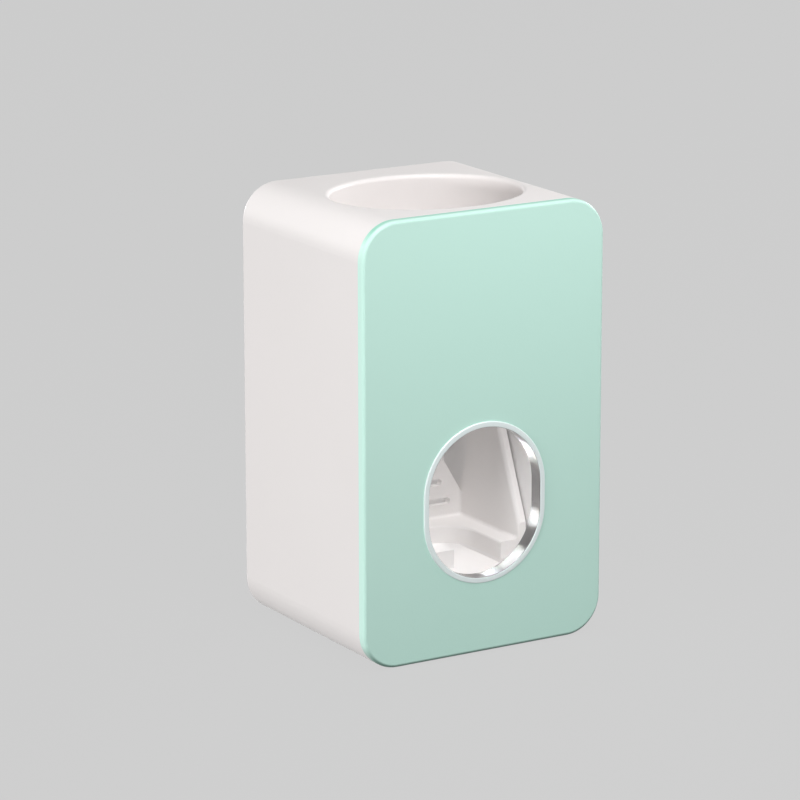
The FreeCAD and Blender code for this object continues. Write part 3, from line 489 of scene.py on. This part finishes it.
@dataclass(frozen=True)
class MilkySilicone:
    """Soft silicone rubber that lets a little light in.

    Attributes:
        name: The finish's name.
        colour: Linear colour.
        shade: Linear colour of the cloudier places.
    """

    SCALES: ClassVar[dict[str, float]] = {"Grain Scale": 2600.0, "Cloud Scale": 140.0}
    ROUGHNESS: ClassVar[Span] = (0.42, 0.6)
    RELIEF: ClassVar[float] = 0.00006
    BUMP_STRENGTH: ClassVar[float] = 0.4
    LIGHT_SHARE: ClassVar[float] = 0.2
    LIGHT_TINT: ClassVar[Colour] = (1.0, 0.9, 0.8)
    LIGHT_DEPTH: ClassVar[float] = 0.0012

    name: str
    colour: Colour
    shade: Colour

    def make(self) -> bpy.types.Material:
        """Builds the material.

        Returns:
            The material.
        """
        material, wires, shader = start_material(self.name)
        surface = MouldedSurface.add(wires, self.SCALES)
        wires.feed(shader, {
            "Base Color": wires.mix(surface["Cloud"], self.shade, self.colour),
            "Roughness": wires.spread(surface["Cloud"], self.ROUGHNESS),
            "Normal": wires.bump(surface["Grain"], self.RELIEF, self.BUMP_STRENGTH),
            "Subsurface Weight": self.LIGHT_SHARE,
            "Subsurface Radius": self.LIGHT_TINT,
            "Subsurface Scale": self.LIGHT_DEPTH,
        })
        return material


@dataclass(frozen=True)
class OpenFoam:
    """Adhesive foam with small open pores.

    Attributes:
        name: The finish's name.
        colour: Linear colour of the skin.
        pore_shade: Linear colour of the painted shade inside the pores.
        scale: Pores per metre.
    """

    SKIN: ClassVar[Span] = (0.12, 0.42)
    CLOUD_SHARE: ClassVar[float] = 0.9
    ROUGHNESS: ClassVar[Span] = (0.95, 0.8)
    RELIEF: ClassVar[float] = 0.0002
    BUMP_STRENGTH: ClassVar[float] = 0.6

    name: str
    colour: Colour
    pore_shade: Colour
    scale: float

    def make(self) -> bpy.types.Material:
        """Builds the material.

        Returns:
            The material.
        """
        material, wires, shader = start_material(self.name)
        cloud = MouldedSurface.add(wires)["Cloud"]
        cells = wires.node("ShaderNodeTexVoronoi", {"Vector": wires.spot(), "Scale": self.scale})
        skin = wires.ramp(cells.outputs["Distance"], self.SKIN)
        dull = tuple(self.CLOUD_SHARE * part for part in self.colour)
        wires.feed(shader, {
            # Painted shade: the pores are darker than the skin.
            "Base Color": wires.mix(skin, self.pore_shade, wires.mix(cloud, dull, self.colour)),
            "Roughness": wires.spread(skin, self.ROUGHNESS),
            "Normal": wires.bump(skin, self.RELIEF, self.BUMP_STRENGTH),
        })
        return material


# Meshes

WELD = 1e-6
FINE_WELD = 1e-7
SHARP_TURN = math.radians(25)
RIM_TURN = math.radians(60)


def round_off(
    mesh: bmesh.types.BMesh, edges: list, offset: float, segments: int, clamp: bool = False
) -> None:
    """Rounds edges of a mesh.

    Args:
        mesh: The mesh.
        edges: Its edges to round.
        offset: Width of the rounding on each side.
        segments: Steps across the rounding.
        clamp: Whether a rounding stops where it would meet another.
    """
    bmesh.ops.bevel(
        mesh, geom=edges, offset=offset, offset_type="OFFSET", affect="EDGES",
        segments=segments, profile=0.5, material=-1, clamp_overlap=clamp,
    )


def turned_mesh(
    axis_y: float, profile: Profile, soften: float, steps: int = 72
) -> bmesh.types.BMesh:
    """Turns an outline about the pump's upright axis and softens its sharp rings.

    Args:
        axis_y: Where the axis stands.
        profile: Corners as (radius, height), closed unless it starts and ends on the axis.
        soften: Width of the rounding on sharp rings.
        steps: Steps round the axis.

    Returns:
        The new mesh.
    """
    mesh = bmesh.new()
    corners = [mesh.verts.new((radius, axis_y, height)) for radius, height in profile]
    lines = [mesh.edges.new(pair) for pair in zip(corners, corners[1:])]
    if profile[0][0] > 0:
        lines.append(mesh.edges.new((corners[-1], corners[0])))
    bmesh.ops.spin(
        mesh, geom=[*corners, *lines], cent=(0, axis_y, 0), axis=(0, 0, 1),
        angle=math.tau, steps=steps, use_merge=True,
    )
    bmesh.ops.remove_doubles(mesh, verts=mesh.verts, dist=WELD)
    bmesh.ops.recalc_face_normals(mesh, faces=mesh.faces)
    sharp = [
        edge for edge in mesh.edges if edge.is_manifold and edge.calc_face_angle() > SHARP_TURN
    ]
    round_off(mesh, sharp, soften, segments=3, clamp=True)
    return mesh


def finish_piece(
    name: str, mesh: bmesh.types.BMesh, material: bpy.types.Material, body: Body
) -> bpy.types.Object:
    """Makes an object of a mesh and puts it in the frame in place of the node of that name.

    Args:
        name: The node that the piece stands for.
        mesh: The finished mesh, which is freed.
        material: The piece's finish.
        body: The body that it rides on.

    Returns:
        The new object.
    """
    data = bpy.data.meshes.new(f"{name}_dressed")
    mesh.to_mesh(data)
    mesh.free()
    data.shade_smooth()
    data.materials.append(material)
    piece = bpy.data.objects.new(f"{name}_dressed", data)
    bpy.context.scene.collection.objects.link(piece)
    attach(piece, body.value)
    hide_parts(name)
    LOG.info("%s: %d faces on %s", piece.name, len(data.polygons), body.value)
    return piece


def dress(material: bpy.types.Material, *nodes: str) -> None:
    """Gives CAD nodes a finish.

    Args:
        material: The finish.
        nodes: The nodes' names.
    """
    for name in nodes:
        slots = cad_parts[name].data.materials
        slots.clear()
        slots.append(material)
        LOG.info("%s: %s", name, material.name)


# Sub-assemblies


@dataclass
class Shell:
    """The white housing and the collar in its well."""

    white: bpy.types.Material

    def build(self) -> None:
        """Dresses the shell's nodes."""
        dress(self.white, "housing", "seal_collar")


@dataclass
class FrontCover:
    """The mint panel, its carrier and the window's bezel."""

    mint: bpy.types.Material
    inner: bpy.types.Material
    bright: bpy.types.Material

    def build(self) -> None:
        """Dresses the cover's nodes."""
        dress(self.mint, "front_panel")
        dress(self.inner, "panel_carrier")
        dress(self.bright, "window_bezel")


@dataclass
class Mechanism:
    """The inner frame, the push lever and the return spring.

    Attributes:
        inner: Finish of the lever.
        frame_white: Finish of the inner frame.
        steel: Finish of the pins and screws.
        wire: Finish of the spring.
        wire_radius: Half the wire's thickness.
        wire_sides: Sides of the wire's section.
        turns: The spring's turns.
        turn_steps: Steps round each turn.
        pressed: Share of its length that the spring keeps when the lever is pushed; not used.
        lean: How far the spring leans upwards with the lever, per length; not used.
    """

    inner: bpy.types.Material
    frame_white: bpy.types.Material
    steel: bpy.types.Material
    wire: bpy.types.Material
    wire_radius: float = 0.00035
    wire_sides: int = 12
    turns: float = 3.5
    turn_steps: int = 48
    pressed: float = 0.19
    lean: float = 0.12

    def build(self) -> None:
        """Dresses the moulded pieces and winds the spring."""
        dress(self.inner, "push_lever")
        dress(self.frame_white, "inner_frame")
        dress(self.steel, "frame_screws", "pivot_pin_left", "pivot_pin_right")
        self.wind_spring()

    def wind_spring(self) -> bpy.types.Object:
        """Winds the return spring.

        Returns:
            The spring.
        """
        low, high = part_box("return_spring")
        middle = (low + high) / 2
        radius = (high.z - low.z) / 2 - self.wire_radius
        mesh = bmesh.new()
        start = Matrix.Translation((radius, low.y + self.wire_radius, middle.z))
        bmesh.ops.create_circle(
            mesh, segments=self.wire_sides, radius=self.wire_radius, cap_ends=True, matrix=start
        )
        steps = round(self.turns * self.turn_steps)
        climb = (high.y - low.y - 2 * self.wire_radius) / steps
        bmesh.ops.spin(
            mesh, geom=[*mesh.verts, *mesh.edges, *mesh.faces],
            cent=(0, middle.y, middle.z), axis=(0, -1, 0), dvec=(0, climb, 0),
            angle=math.tau * self.turns, steps=steps,
        )
        bmesh.ops.remove_doubles(mesh, verts=mesh.verts, dist=FINE_WELD)
        bmesh.ops.recalc_face_normals(mesh, faces=mesh.faces)
        spring = finish_piece("return_spring", mesh, self.wire, Body.DISPENSER)
        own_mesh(spring)
        return spring


@dataclass
class Pump:
    """The seal, the valves, the bulb and the hard pieces that hold them.

    Attributes:
        inner: Finish of the moulded pieces.
        silicone: Finish of the soft pieces.
        groove: Depth of the grooves in the seal's bore.
        groove_drops: How far each groove lies under the seal's top.
        soften: Rounding of the bulb's edges.
        seal_soften: Rounding of the seal's edges.
        valve_soften: Rounding of the valves' edges.
        squeezed: Share of its depth that the bulb keeps when the lever is pushed; not used.
        flattened: Share of its depth that the duckbill keeps at its slit.
    """

    inner: bpy.types.Material
    silicone: bpy.types.Material
    groove: float = 0.0005
    groove_drops: Point = (0.0016, 0.0036, 0.0056)
    soften: float = 0.0003
    seal_soften: float = 0.00015
    valve_soften: float = 0.00012
    squeezed: float = 0.83
    flattened: float = 0.35

    def build(self) -> None:
        """Dresses the hard pieces and makes the soft ones."""
        dress(self.inner, "pump_head", "upper_clamp", "lower_clamp", "nozzle", "nozzle_nut")
        self.make_seal()
        self.make_inlet_valve()
        self.make_bulb()
        self.make_outlet_valve()

    def make_seal(self) -> bpy.types.Object:
        """Makes the tube's seal, with grooves that leave gripping lips in its bore.

        Returns:
            The seal.
        """
        low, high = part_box("tube_seal")
        axis_y = (low.y + high.y) / 2
        flange = (high.x - low.x) / 2
        bore, skirt, body = 0.0065, 0.0089, 0.0112
        skirt_rise, flange_thick, lead = 0.003, 0.002, 0.0006
        under, floor = low.z + skirt_rise, high.z - flange_thick
        deep = bore + self.groove
        profile = [
            (bore, low.z), (skirt, low.z), (skirt, under), (body, under), (body, floor),
            (flange, floor), (flange, high.z), (bore + lead, high.z), (bore, high.z - lead),
        ]
        slope, width, end = 0.0005, 0.0006, 0.001
        for drop in self.groove_drops:
            level = high.z - drop
            profile += [
                (bore, level + slope), (deep, level), (deep, level - width), (bore, level - end),
            ]
        mesh = turned_mesh(axis_y, profile, self.seal_soften)
        return finish_piece("tube_seal", mesh, self.silicone, Body.DISPENSER)

    def make_inlet_valve(self) -> bpy.types.Object:
        """Makes the umbrella valve with its stem and holding bulge.

        Returns:
            The valve.
        """
        low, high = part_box("inlet_valve")
        axis_y = (low.y + high.y) / 2
        rim = (high.x - low.x) / 2
        stem, bulge, waist, tip = 0.00085, 0.0014, 0.00133, 0.0001
        dome_shares, dome_rises = (0.45, 0.85, 1.0), (0.00008, 0.0003, 0.0005)
        seat_shares = (1.0, 0.8, 0.4)
        thick, neck, shoulder = 0.0008, 0.002, 0.0024
        seat = low.z + thick
        profile = [
            (0.0, low.z),
            *((rim * share, low.z + rise) for share, rise in zip(dome_shares, dome_rises)),
            *((rim * share, seat) for share in seat_shares),
            (stem, seat), (stem, seat + neck), (bulge, seat + neck), (waist, seat + shoulder),
            (stem, high.z - tip), (0.0, high.z),
        ]
        mesh = turned_mesh(axis_y, profile, self.valve_soften)
        return finish_piece("inlet_valve", mesh, self.silicone, Body.DISPENSER)

    def make_bulb(self) -> bpy.types.Object:
        """Makes the bulb that the lever's bar squeezes.

        Returns:
            The bulb.
        """
        low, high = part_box("pump_bulb")
        axis_y = (low.y + high.y) / 2
        swell = (high.x - low.x) / 2
        inner, collar, wall = 0.0056, 0.007, 0.0015
        collar_rise, round_share, round_rise, full_rise = 0.0043, 0.98, 0.0014, 0.003
        neck_drop, hollow_drop, hollow_rise = 0.001, 0.0025, 0.0015
        foot, top = low.z + collar_rise, high.z - collar_rise
        middle = (foot + top) / 2
        shoulder, hollow = swell * round_share, swell - wall
        profile = [
            (inner, low.z), (collar, low.z), (collar, foot), (shoulder, foot + round_rise),
            (swell, foot + full_rise), (swell, middle), (swell, top - full_rise),
            (shoulder, top - round_rise), (collar, top), (collar, high.z), (inner, high.z),
            (inner, top - neck_drop), (hollow, top - hollow_drop), (hollow, foot + hollow_rise),
            (inner, foot),
        ]
        mesh = turned_mesh(axis_y, profile, self.soften)
        bulb = finish_piece("pump_bulb", mesh, self.silicone, Body.DISPENSER)
        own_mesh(bulb)
        return bulb

    def make_outlet_valve(self) -> bpy.types.Object:
        """Makes the duckbill in the nozzle, flattened towards its slit.

        Returns:
            The valve.
        """
        low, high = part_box("outlet_valve")
        axis_y = (low.y + high.y) / 2
        flange = (high.x - low.x) / 2
        bill, tip, wall, rim, lip_rise = 0.0029, 0.0012, 0.0008, 0.0014, 0.00096
        shoulder, ledge, hollow = low.z + bill, high.z - rim, bill - wall
        profile = [
            (0.0, low.z), (tip, low.z), (bill, shoulder), (bill, ledge), (flange, ledge),
            (flange, high.z), (hollow, high.z), (hollow, shoulder), (0.0, low.z + wall),
        ]
        mesh = turned_mesh(axis_y, profile, self.valve_soften, steps=48)
        lips = [vert for vert in mesh.verts if vert.co.z < low.z + lip_rise]
        centre = Matrix.Translation((0, -axis_y, 0))
        bmesh.ops.scale(mesh, vec=(1.0, self.flattened, 1.0), space=centre, verts=lips)
        return finish_piece("outlet_valve", mesh, self.silicone, Body.DISPENSER)


@dataclass
class WallMount:
    """The wall plate and the adhesive foam pad on its back.

    Attributes:
        inner: Finish of the plate.
        foam: Finish of the pad.
        corner: Radius of the pad's corners.
        crown: Rounding of the pad's rim.
    """

    inner: bpy.types.Material
    foam: bpy.types.Material
    corner: float = 0.0025
    crown: float = 0.00025

    def build(self) -> None:
        """Dresses the plate and makes the pad."""
        dress(self.inner, "wall_plate")
        self.make_pad()

    def make_pad(self) -> bpy.types.Object:
        """Makes the foam pad with round corners and a soft rim.

        Returns:
            The pad.
        """
        low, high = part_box("adhesive_pad")
        size = high - low
        mesh = bmesh.new()
        block = bmesh.ops.create_cube(mesh, size=1.0)
        place = Matrix.Translation((low + high) / 2) @ Matrix.Diagonal((*size, 1.0))
        bmesh.ops.transform(mesh, matrix=place, verts=block["verts"])
        corners = [
            edge for edge in mesh.edges
            if abs(edge.verts[0].co.y - edge.verts[1].co.y) > size.y / 2
        ]
        round_off(mesh, corners, self.corner, segments=8)
        rim = [edge for edge in mesh.edges if edge.calc_face_angle() > RIM_TURN]
        round_off(mesh, rim, self.crown, segments=4)
        pad = finish_piece("adhesive_pad", mesh, self.foam, Body.WALL_MOUNT)
        return pad


# Studio


def set_up(thing: bpy.types.Object, place: Point, aim: Point) -> None:
    """Puts a lamp or a camera in the scene, turned towards a point.

    Args:
        thing: The lamp or camera.
        place: Where it stands.
        aim: The point that it faces.
    """
    thing.location = place
    way = Vector(aim) - Vector(place)
    thing.rotation_euler = way.to_track_quat("-Z", "Y").to_euler()
    bpy.context.scene.collection.objects.link(thing)


@dataclass(frozen=True)
class Lamp:
    """One soft studio lamp.

    Attributes:
        name: The lamp's name.
        place: Where it hangs.
        aim: The point that it faces.
        size: Width and height of its panel.
        power: Its power in watts.
        shadow: Whether pieces block its light.
        glint: Whether gloss shows it.
        node: A node that it treats apart, or empty for none.
        link: Whether it lights only that node or all others.
    """

    name: str
    place: Point
    aim: Point
    size: Span
    power: float
    shadow: bool = True
    glint: bool = True
    node: str = ""
    link: Link = Link.ONLY

    def hang(self) -> bpy.types.Object:
        """Adds the lamp to the scene.

        Returns:
            The lamp.
        """
        data = bpy.data.lights.new(self.name, "AREA")
        data.shape = "RECTANGLE"
        data.size, data.size_y = self.size
        data.energy = self.power
        data.use_shadow = self.shadow
        lamp = bpy.data.objects.new(self.name, data)
        lamp.visible_glossy = self.glint
        set_up(lamp, self.place, self.aim)
        if self.node:
            linked = bpy.data.collections.new(self.name)
            linked.objects.link(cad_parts[self.node])
            linked.collection_objects[0].light_linking.link_state = self.link.value
            lamp.light_linking.receiver_collection = linked
        LOG.info("%s: %.2f W", self.name, self.power)
        return lamp


@dataclass(frozen=True)
class Glint(Lamp):
    """A lamp that only the chrome's gloss shows, as a bright streak."""

    shadow: bool = False
    node: str = "window_bezel"

    def hang(self) -> bpy.types.Object:
        """Adds the lamp to the scene.

        Returns:
            The lamp.
        """
        lamp = super().hang()
        lamp.visible_diffuse = False
        lamp.data.cycles.use_multiple_importance_sampling = False
        return lamp


def make_lamps(window: Point) -> tuple[Lamp, ...]:
    """Lists the studio's lamps.

    Args:
        window: The middle of the window's front.

    Returns:
        The lamps.
    """
    middle = (0.0, 0.0, 0.06)
    brow = (0.0, -0.03, 0.08)
    return (
        Lamp("left_panel", (-1.6, -0.3, 0.13), middle, size=(1.2, 0.2), power=19.1, glint=False),
        Lamp("right_panel", (1.5, 0.1, 0.6), middle, size=(1.0, 0.4), power=9.0),
        Lamp("back_panel", (0.0, 2.4, 0.15), middle, size=(1.4, 0.2), power=15.0),
        Lamp(
            "front_panel_lamp", (0.02, -0.165, 0.195), brow, size=(0.3, 0.06), power=0.17,
            glint=False,
        ),
        Glint("low_glint", (-0.68, 0.96, 0.02), window, size=(0.25, 0.36), power=0.88),
        Glint("high_glint", (-0.14, 0.96, 0.71), window, size=(0.65, 0.15), power=1.1),
        Glint("under_glint", (-0.02, 0.96, -0.64), window, size=(0.5, 0.2), power=0.92),
        Glint("foot_glint", (0.33, 0.96, 0.5), window, size=(0.5, 0.22), power=1.35),
        Lamp(
            "fill_panel", (-0.1, -0.65, 1.15), middle, size=(0.8, 0.8), power=9.5,
            shadow=False, node="inner_frame", link=Link.SPARED,
        ),
        Lamp(
            "floor_panel", (0.0, -0.3, 1.2), middle, size=(0.6, 0.6), power=8.9,
            shadow=False, glint=False, node="inner_frame",
        ),
    )


@dataclass
class Studio:
    """The floor, the surrounding light, the lamps and the camera.

    Attributes:
        lamps: The lamps.
        grey: Linear grey of the background.
        glow: Share of the floor's grey that no shadow dims.
        bounce: How much light the floor gives back to the object.
        drop: How far the floor lies under the object's foot.
        floor_size: Half the floor's width.
        ambient: Strength of the surrounding light.
        camera: Where the camera stands.
        aim: The point that it faces.
        lens: Focal length in millimetres.
        sensor: Width of the camera's sensor in millimetres.
        shift: The picture's shift.
        nearest: The nearest distance that the camera shows.
    """

    lamps: tuple[Lamp, ...]
    grey: float = 0.624
    glow: float = 0.94
    bounce: float = 0.15
    drop: float = 0.0002
    floor_size: float = 8.0
    ambient: float = 0.2
    camera: Point = (-0.53989, -0.88617, 0.32550)
    aim: Point = (0.0, -0.0002, 0.060)
    lens: float = 178.65
    sensor: float = 36.0
    shift: Span = (-0.0267, 0.0101)
    nearest: float = 0.01

    def build(self) -> None:
        """Sets up the whole studio."""
        bpy.context.scene.view_settings.view_transform = "Standard"
        self.lay_floor()
        self.light_surroundings()
        for lamp in self.lamps:
            lamp.hang()
        self.place_camera()

    @staticmethod
    def seen(wires: Wiring) -> Socket:
        """Wires a mask of the rays that show the background.

        Args:
            wires: The wiring of the floor or the surroundings.

        Returns:
            The mask.
        """
        path = wires.node("ShaderNodeLightPath").outputs
        direct = wires.math("MAXIMUM", path["Is Camera Ray"], path["Is Glossy Ray"])
        return wires.math("MAXIMUM", direct, path["Is Transmission Ray"])

    def lay_floor(self) -> None:
        """Lays the pale floor, which glows for the camera and keeps a faint shadow."""
        mesh = bmesh.new()
        sunk = Matrix.Translation((0, 0, -self.drop))
        bmesh.ops.create_grid(mesh, x_segments=1, y_segments=1, size=self.floor_size, matrix=sunk)
        data = bpy.data.meshes.new("floor")
        mesh.to_mesh(data)
        mesh.free()
        floor = bpy.data.objects.new("floor", data)
        bpy.context.scene.collection.objects.link(floor)
        material = bpy.data.materials.new("pale_floor")
        material.use_nodes = True
        material.node_tree.nodes.clear()
        wires = Wiring(material.node_tree)
        seen = self.seen(wires)
        lit = self.grey * (1 - self.glow)
        tone = wires.mix(seen, (self.bounce,) * 3, (lit,) * 3)
        matt = wires.node("ShaderNodeBsdfDiffuse", {"Color": tone})
        strength = wires.math("MULTIPLY", seen, self.grey * self.glow)
        glow = wires.node("ShaderNodeEmission", {"Color": (1, 1, 1, 1), "Strength": strength})
        both = wires.node("ShaderNodeAddShader", {0: matt.outputs[0], 1: glow.outputs[0]})
        wires.node("ShaderNodeOutputMaterial", {"Surface": both.outputs[0]})
        data.materials.append(material)

    def light_surroundings(self) -> None:
        """Sets the even light from all round and the grey that the camera sees."""
        world = bpy.data.worlds.new("surroundings")
        bpy.context.scene.world = world
        world.use_nodes = True
        world.node_tree.nodes.clear()
        wires = Wiring(world.node_tree)
        tone = wires.mix(self.seen(wires), (self.ambient,) * 3, (self.grey,) * 3)
        light = wires.node("ShaderNodeBackground", {"Color": tone, "Strength": 1.0})
        wires.node("ShaderNodeOutputWorld", {"Surface": light.outputs[0]})

    def place_camera(self) -> None:
        """Places the camera at the photograph's viewing angle."""
        data = bpy.data.cameras.new("camera")
        data.lens = self.lens
        data.sensor_width = self.sensor
        data.shift_x, data.shift_y = self.shift
        data.clip_start = self.nearest
        camera = bpy.data.objects.new("camera", data)
        set_up(camera, self.camera, self.aim)
        bpy.context.scene.camera = camera


def main() -> None:
    """Builds every sub-assembly and the studio."""
    logging.basicConfig(level=logging.INFO, format="%(name)s %(message)s")
    panel_low, panel_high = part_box("front_panel")
    bezel_low, bezel_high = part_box("window_bezel")
    white = MouldedPlastic(
        "white_shell", colour=(0.86, 0.825, 0.815), shade=(0.84, 0.805, 0.795),
        roughness=0.4, swing=0.05, grain=1500.0, relief=0.00004, coat=0.1,
    ).make()
    inner = MouldedPlastic(
        "white_inner", colour=(0.915, 0.89, 0.88), shade=(0.895, 0.87, 0.86),
        roughness=0.5, swing=0.06, grain=1300.0, relief=0.00005,
    ).make()
    frame_white = MouldedPlastic(
        "white_frame", colour=(0.925, 0.91, 0.905), shade=(0.91, 0.895, 0.89),
        roughness=0.48, swing=0.06, grain=1300.0, relief=0.00005,
    ).make()
    mint = MintPlastic(
        "mint_panel", colour=(0.56, 0.82, 0.73), shade=(0.55, 0.81, 0.72),
        roughness=0.36, swing=0.05, grain=1600.0, relief=0.00003, coat=0.15,
        crown=panel_high.z, foot=panel_low.z, face=panel_low.y, reach=panel_high.x,
    ).make()
    window_height = (bezel_low.z + bezel_high.z) / 2
    bezel_width = 0.00155
    bright = BrightLiner(
        "bright_liner", chrome=(0.35, 0.355, 0.36), pearl=(0.8, 0.88, 0.88),
        middle=window_height, radius=bezel_high.x - bezel_width,
        straight=(bezel_high.z - bezel_low.z) / 2 - bezel_high.x,
    ).make()
    steel = BrushedSteel(
        "turned_steel", colour=(0.62, 0.62, 0.6), stretch=(300.0, 9000.0, 9000.0)
    ).make()
    wire = BrushedSteel(
        "spring_wire", colour=(0.55, 0.55, 0.54), stretch=(6000.0, 700.0, 6000.0)
    ).make()
    silicone = MilkySilicone(
        "milky_silicone", colour=(0.78, 0.79, 0.78), shade=(0.72, 0.73, 0.72)
    ).make()
    foam = OpenFoam(
        "open_foam", colour=(0.74, 0.73, 0.7), pore_shade=(0.45, 0.44, 0.42), scale=1500.0
    ).make()
    Studio(make_lamps((0.0, bezel_low.y, window_height))).build()
    Shell(white).build()
    FrontCover(mint, inner, bright).build()
    Mechanism(inner, frame_white, steel, wire).build()
    Pump(inner, silicone).build()
    WallMount(inner, foam).build()


if __name__ == "__main__":
    main()
